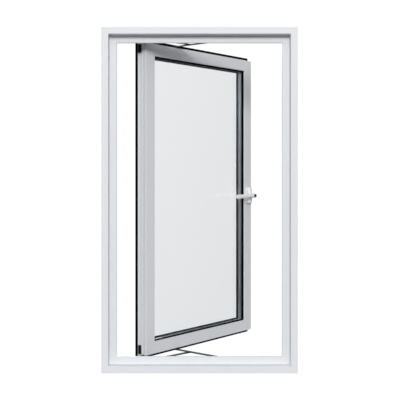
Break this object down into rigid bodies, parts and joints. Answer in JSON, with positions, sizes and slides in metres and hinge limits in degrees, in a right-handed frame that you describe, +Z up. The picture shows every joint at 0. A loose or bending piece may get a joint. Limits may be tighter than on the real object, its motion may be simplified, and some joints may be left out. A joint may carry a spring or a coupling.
{
  "type": "casement window",
  "caption": "Outward-opening aluminium casement window: a double-glazed sash hung on friction stays in a mitred frame, with a lever handle driving a locking rod.",
  "frame": {"origin": "middle of the frame's underside, halfway through its depth", "axes": "+X along the width from hinge side to lock side, +Y outdoors, +Z up"},
  "size_m": [0.68, 0.5686, 1.2],
  "materials": {
    "white_powder_coat": "satin powder coat on aluminium",
    "mill_aluminium": "mill finish",
    "stay_steel": "stainless, fine brushed, dark",
    "zinc_steel": "zinc plated",
    "cast_zinc": "white coated die casting",
    "black_rubber": "matt EPDM",
    "black_plastic": "moulded nylon",
    "white_plastic": "moulded",
    "clear_glass": "float glass"
  },
  "bodies": {
    "frame": {"frame_head": "white_powder_coat", "frame_sill": "white_powder_coat", "frame_jamb_hinge": "white_powder_coat", "frame_jamb_lock": "white_powder_coat", "frame_corner_cleats": "mill_aluminium", "frame_seal": "black_rubber", "stay_track_top": "stay_steel", "stay_track_bottom": "stay_steel", "track_screws": "stay_steel", "track_rivets": "stay_steel", "lock_keeps": "zinc_steel", "keep_screws": "zinc_steel", "drain_hoods": "white_plastic"},
    "long_arms": {"long_arm_top": "stay_steel", "long_arm_bottom": "stay_steel", "arm_rivets": "stay_steel"},
    "short_arms": {"short_arm_top": "stay_steel", "short_arm_bottom": "stay_steel"},
    "slide_shoes": {"slide_shoe_top": "black_plastic", "slide_shoe_bottom": "black_plastic"},
    "sash": {"sash_top_rail": "white_powder_coat", "sash_bottom_rail": "white_powder_coat", "sash_hinge_stile": "white_powder_coat", "sash_lock_stile": "white_powder_coat", "sash_corner_cleats": "mill_aluminium", "inner_pane": "clear_glass", "outer_pane": "clear_glass", "spacer_bars": "mill_aluminium", "edge_seal": "black_rubber", "inner_gasket": "black_rubber", "outer_gasket": "black_rubber", "glazing_beads": "white_powder_coat", "sash_rim_seal": "black_rubber", "setting_blocks": "black_plastic", "sash_bar_top": "stay_steel", "sash_bar_bottom": "stay_steel", "sash_bar_screws": "stay_steel", "sash_bar_rivets": "stay_steel", "edge_guards": "black_plastic", "gearbox_case": "zinc_steel", "handle_base": "zinc_steel", "handle_screws": "zinc_steel", "handle_cover": "cast_zinc"},
    "nose_links": {"nose_link_top": "stay_steel", "nose_link_bottom": "stay_steel"},
    "handle": {"handle_lever": "cast_zinc", "spindle": "zinc_steel", "gear_sector": "zinc_steel"},
    "lock_rod": {"drive_rod": "zinc_steel", "lock_cams": "zinc_steel"},
    "button": {"lock_button": "black_plastic"}
  },
  "joints": [
    {"name": "sash_swing", "type": "hinge", "parent": "long_arms", "child": "sash", "pos_m": [-0.09552, 0.17559, 0.6], "axis": [0, 0, 1], "range_deg": [-83, 14.13]},
    {"name": "long_arm_turn", "type": "hinge", "parent": "frame", "child": "long_arms", "pos_m": [0.12, 0.019, 0.6], "axis": [0, 0, -1], "range_deg": [-36.02, 6.15]},
    {"name": "short_arm_turn", "type": "hinge", "parent": "long_arms", "child": "short_arms", "pos_m": [-0.038, 0.1338, 0.6], "axis": [0, 0, 1], "range_deg": [-75.03, 12.79]},
    {"name": "shoe_turn", "type": "hinge", "parent": "short_arms", "child": "slide_shoes", "pos_m": [-0.17974, 0.019, 0.6], "axis": [0, 0, 1], "range_deg": [-6.66, 39.02]},
    {"name": "nose_link_turn", "type": "hinge", "parent": "sash", "child": "nose_links", "pos_m": [-0.20355, 0.05975, 0.6], "axis": [0, 0, 1], "range_deg": [-18.18, 106.72]},
    {"name": "handle_turn", "type": "hinge", "parent": "sash", "child": "handle", "pos_m": [0.20382, 0.47607, 0.6], "axis": [0.7314, -0.682, 0], "range_deg": [0, 90]},
    {"name": "rod_slide", "type": "slide", "parent": "sash", "child": "lock_rod", "axis": [0, 0, 1], "range_m": [0, 0.01886]},
    {"name": "button_press", "type": "slide", "parent": "handle", "child": "button", "axis": [-0.7314, 0.682, 0], "range_m": [0, 0.003], "stiffness_N_per_m": 400, "springref_m": -0.001}
  ],
  "couplings": [
    {"joint": "long_arm_turn", "follows": "sash_swing", "ratio": 0.43375},
    {"joint": "short_arm_turn", "follows": "sash_swing", "ratio": 0.90368},
    {"joint": "shoe_turn", "follows": "sash_swing", "ratio": -0.46993},
    {"joint": "nose_link_turn", "follows": "sash_swing", "ratio": -1.2856},
    {"joint": "rod_slide", "follows": "handle_turn", "m_per_rad": 0.012}
  ]
}
